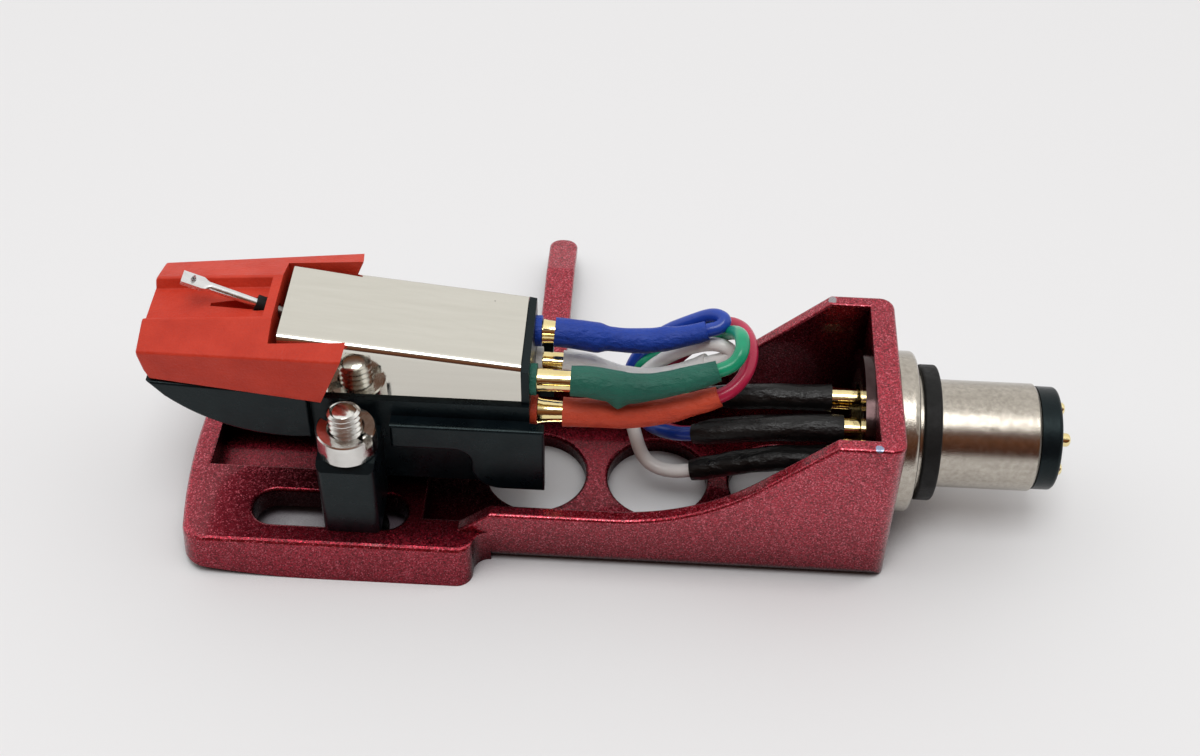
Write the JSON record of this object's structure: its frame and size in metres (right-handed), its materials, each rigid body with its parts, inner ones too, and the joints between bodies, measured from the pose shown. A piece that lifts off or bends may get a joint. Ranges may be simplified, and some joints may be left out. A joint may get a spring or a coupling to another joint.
{
  "type": "turntable headshell with stylus cartridge",
  "caption": "Turntable headshell with bayonet plug, finger lift and screwed-on phono cartridge with pull-off stylus, wired by coloured leads to the plug's contacts.",
  "frame": {"origin": "on the outer face of the shell, midway between the two cartridge screws", "axes": "+X towards the bayonet plug, +Y towards the finger lift, +Z from the outer face to the stylus; the part lies upside down, as pictured"},
  "size_m": [0.0668, 0.0368, 0.0203],
  "materials": {
    "shell_paint": "metallic flake paint",
    "nickel": "polished",
    "rubber": "matte",
    "black_plastic": "satin",
    "gold": "polished",
    "shield_metal": "bright",
    "screw_metal": "bright",
    "red_plastic": "satin",
    "bright_alloy": "polished",
    "diamond": "polished",
    "magnet_metal": "ground",
    "soft_iron": "ground",
    "copper_wire": "enamelled",
    "green_sleeve": "satin",
    "red_sleeve": "satin",
    "blue_sleeve": "satin",
    "white_sleeve": "satin",
    "green_wire": "gloss",
    "red_wire": "gloss",
    "blue_wire": "gloss",
    "white_wire": "gloss",
    "black_sleeve": "satin"
  },
  "bodies": {
    "shell": {"bayonet_collar": "nickel", "cartridge_body": "black_plastic", "cartridge_clip_blue": "gold", "cartridge_clip_green": "gold", "cartridge_clip_red": "gold", "cartridge_clip_white": "gold", "cartridge_sleeve_blue": "blue_sleeve", "cartridge_sleeve_green": "green_sleeve", "cartridge_sleeve_red": "red_sleeve", "cartridge_sleeve_white": "white_sleeve", "coil_far": "copper_wire", "coil_near": "copper_wire", "collar_lock_ring": "nickel", "contact_pin_far_high": "gold", "contact_pin_far_low": "gold", "contact_pin_near_high": "gold", "contact_pin_near_low": "gold", "gasket": "rubber", "headshell": "shell_paint", "headshell_clip_blue": "gold", "headshell_clip_green": "gold", "headshell_clip_red": "gold", "headshell_clip_white": "gold", "headshell_sleeve_blue": "black_sleeve", "headshell_sleeve_green": "black_sleeve", "headshell_sleeve_red": "black_sleeve", "headshell_sleeve_white": "black_sleeve", "lead_wire_blue": "blue_wire", "lead_wire_green": "green_wire", "lead_wire_red": "red_wire", "lead_wire_white": "white_wire", "locating_pin": "nickel", "mounting_nuts": "screw_metal", "mounting_screws": "screw_metal", "pin_ring_blue": "blue_sleeve", "pin_ring_green": "green_sleeve", "pin_ring_red": "red_sleeve", "pin_ring_white": "white_sleeve", "pole_piece_far": "soft_iron", "pole_piece_near": "soft_iron", "shield": "shield_metal", "terminal_insulator": "black_plastic", "terminal_pin_blue": "gold", "terminal_pin_green": "gold", "terminal_pin_red": "gold", "terminal_pin_white": "gold"},
    "stylus": {"stylus_holder": "red_plastic"},
    "suspension": {"damper": "rubber"},
    "needle": {"cantilever": "bright_alloy", "stylus_tip": "diamond", "magnet": "magnet_metal"}
  },
  "joints": [
    {"name": "stylus_pull", "type": "slide", "parent": "shell", "child": "stylus", "axis": [-0.9979, 0, 0.0645], "range_m": [0, 0.01]},
    {"name": "stylus_sway", "type": "hinge", "parent": "stylus", "child": "suspension", "pos_m": [-0.00645, 0, 0.0177], "axis": [0, 0, 1], "range_deg": [-2.5, 2.5], "stiffness_Nm_per_rad": 0.0024},
    {"name": "stylus_pitch", "type": "hinge", "parent": "suspension", "child": "needle", "pos_m": [-0.00645, 0, 0.0177], "axis": [0, 1, 0], "range_deg": [-2.5, 2.5], "stiffness_Nm_per_rad": 0.0024}
  ]
}
